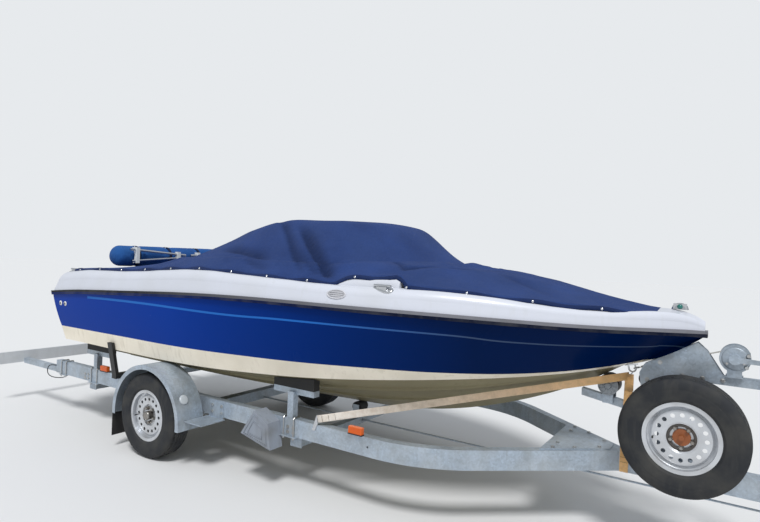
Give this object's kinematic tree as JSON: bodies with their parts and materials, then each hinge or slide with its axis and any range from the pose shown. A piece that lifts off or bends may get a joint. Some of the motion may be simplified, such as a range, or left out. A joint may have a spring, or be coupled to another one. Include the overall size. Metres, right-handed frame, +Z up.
{
  "type": "speedboat on road trailer",
  "caption": "Motor boat under a fitted travel cover, its stern drive tilted up, on a galvanised single-axle braked boat trailer with jockey wheel, winch stand and spare wheel.",
  "frame": {"origin": "middle of the whole outfit in plan, on the ground that the tyres and the jockey wheel stand on", "axes": "+X forward to the coupling, +Y to port, +Z up"},
  "size_m": [7.19, 2.2, 1.884],
  "materials": {
    "hull_gelcoat": "gloss",
    "deck_gelcoat": "gloss",
    "rail_vinyl": "satin",
    "cover_canvas": "matte",
    "boot_canvas": "matte",
    "stainless": "polished",
    "white_plastic": "satin",
    "engine_iron": "matte",
    "drive_enamel": "gloss",
    "propeller_enamel": "gloss",
    "galvanised": "satin",
    "black_steel": "satin",
    "black_rubber": "matte",
    "black_plastic": "matte",
    "tyre_rubber": "matte",
    "wheel_silver": "satin",
    "drum_iron": "matte",
    "rust_enamel": "satin",
    "amber_lens": "gloss",
    "red_lens": "gloss",
    "board_white": "satin",
    "strap_webbing": "matte"
  },
  "bodies": {
    "outfit": {"hull": "hull_gelcoat", "deck": "deck_gelcoat", "rub_rail": "rail_vinyl", "cover": "cover_canvas", "sun_top_boot": "boot_canvas", "sun_top_legs": "stainless", "bow_eye": "stainless", "strap_link": "stainless", "sun_top_saddles": "white_plastic", "cleats": "stainless", "bow_light": "stainless", "engine_block": "engine_iron", "transom_shield": "drive_enamel", "beam_left": "galvanised", "beam_right": "galvanised", "drawbar": "galvanised", "gusset_plates": "galvanised", "cross_members": "galvanised", "axle_tube": "galvanised", "swing_arms": "galvanised", "mudguards": "galvanised", "guard_brackets": "galvanised", "bunk_supports": "galvanised", "winch_stand": "galvanised", "bow_roller_arm": "galvanised", "spare_carrier": "galvanised", "board_tubes": "galvanised", "jockey_outer": "galvanised", "brake_rod": "galvanised", "coupling_head": "galvanised", "cradle": "black_steel", "overrun_coupling": "black_steel", "handbrake_lever": "black_steel", "winch": "black_steel", "hull_pads": "black_rubber", "rollers": "black_rubber", "coupling_gaiter": "black_rubber", "mud_flaps": "black_rubber", "wheel_chock": "black_plastic", "light_cable": "black_plastic", "spare_tyre": "tyre_rubber", "spare_rim": "wheel_silver", "spare_cap": "rust_enamel", "marker_lamps": "amber_lens", "rear_lamps": "red_lens", "light_board": "board_white", "winch_strap": "strap_webbing", "tie_strap": "strap_webbing"},
    "wheel_right": {"drum_right": "drum_iron", "rim_right": "wheel_silver", "tyre_right": "tyre_rubber"},
    "wheel_left": {"drum_left": "drum_iron", "rim_left": "wheel_silver", "tyre_left": "tyre_rubber"},
    "jockey_tube": {"jockey_inner": "galvanised"},
    "jockey_caster": {"jockey_fork": "galvanised"},
    "jockey_roller": {"jockey_wheel": "tyre_rubber"},
    "drive_gimbal": {"gimbal_ring": "drive_enamel"},
    "drive": {"drive_leg": "drive_enamel"},
    "prop": {"propeller": "propeller_enamel"}
  },
  "joints": [
    {"name": "wheel_right_spin", "type": "hinge", "parent": "outfit", "child": "wheel_right", "pos_m": [-1.155, -0.988, 0.325], "axis": [0, 1, 0], "continuous": true},
    {"name": "wheel_left_spin", "type": "hinge", "parent": "outfit", "child": "wheel_left", "pos_m": [-1.155, 0.988, 0.325], "axis": [0, 1, 0], "continuous": true},
    {"name": "jockey_lift", "type": "slide", "parent": "outfit", "child": "jockey_tube", "axis": [0, 0, 1], "range_m": [-0.1, 0.12]},
    {"name": "jockey_swivel", "type": "hinge", "parent": "jockey_tube", "child": "jockey_caster", "pos_m": [2.975, -0.096, 0.2], "axis": [0, 0, 1], "continuous": true},
    {"name": "jockey_spin", "type": "hinge", "parent": "jockey_caster", "child": "jockey_roller", "pos_m": [2.93, -0.096, 0.1], "axis": [0, 1, 0], "continuous": true},
    {"name": "drive_steer", "type": "hinge", "parent": "outfit", "child": "drive_gimbal", "pos_m": [-2.755, 0, 0.82], "axis": [0, 0, 1], "range_deg": [-28, 28]},
    {"name": "drive_tilt", "type": "hinge", "parent": "drive_gimbal", "child": "drive", "pos_m": [-2.755, 0, 0.82], "axis": [0, 1, 0], "range_deg": [-50, 0]},
    {"name": "prop_spin", "type": "hinge", "parent": "drive", "child": "prop", "pos_m": [-3.37226, 0, 0.85555], "axis": [-0.6428, 0, 0.766], "continuous": true}
  ]
}
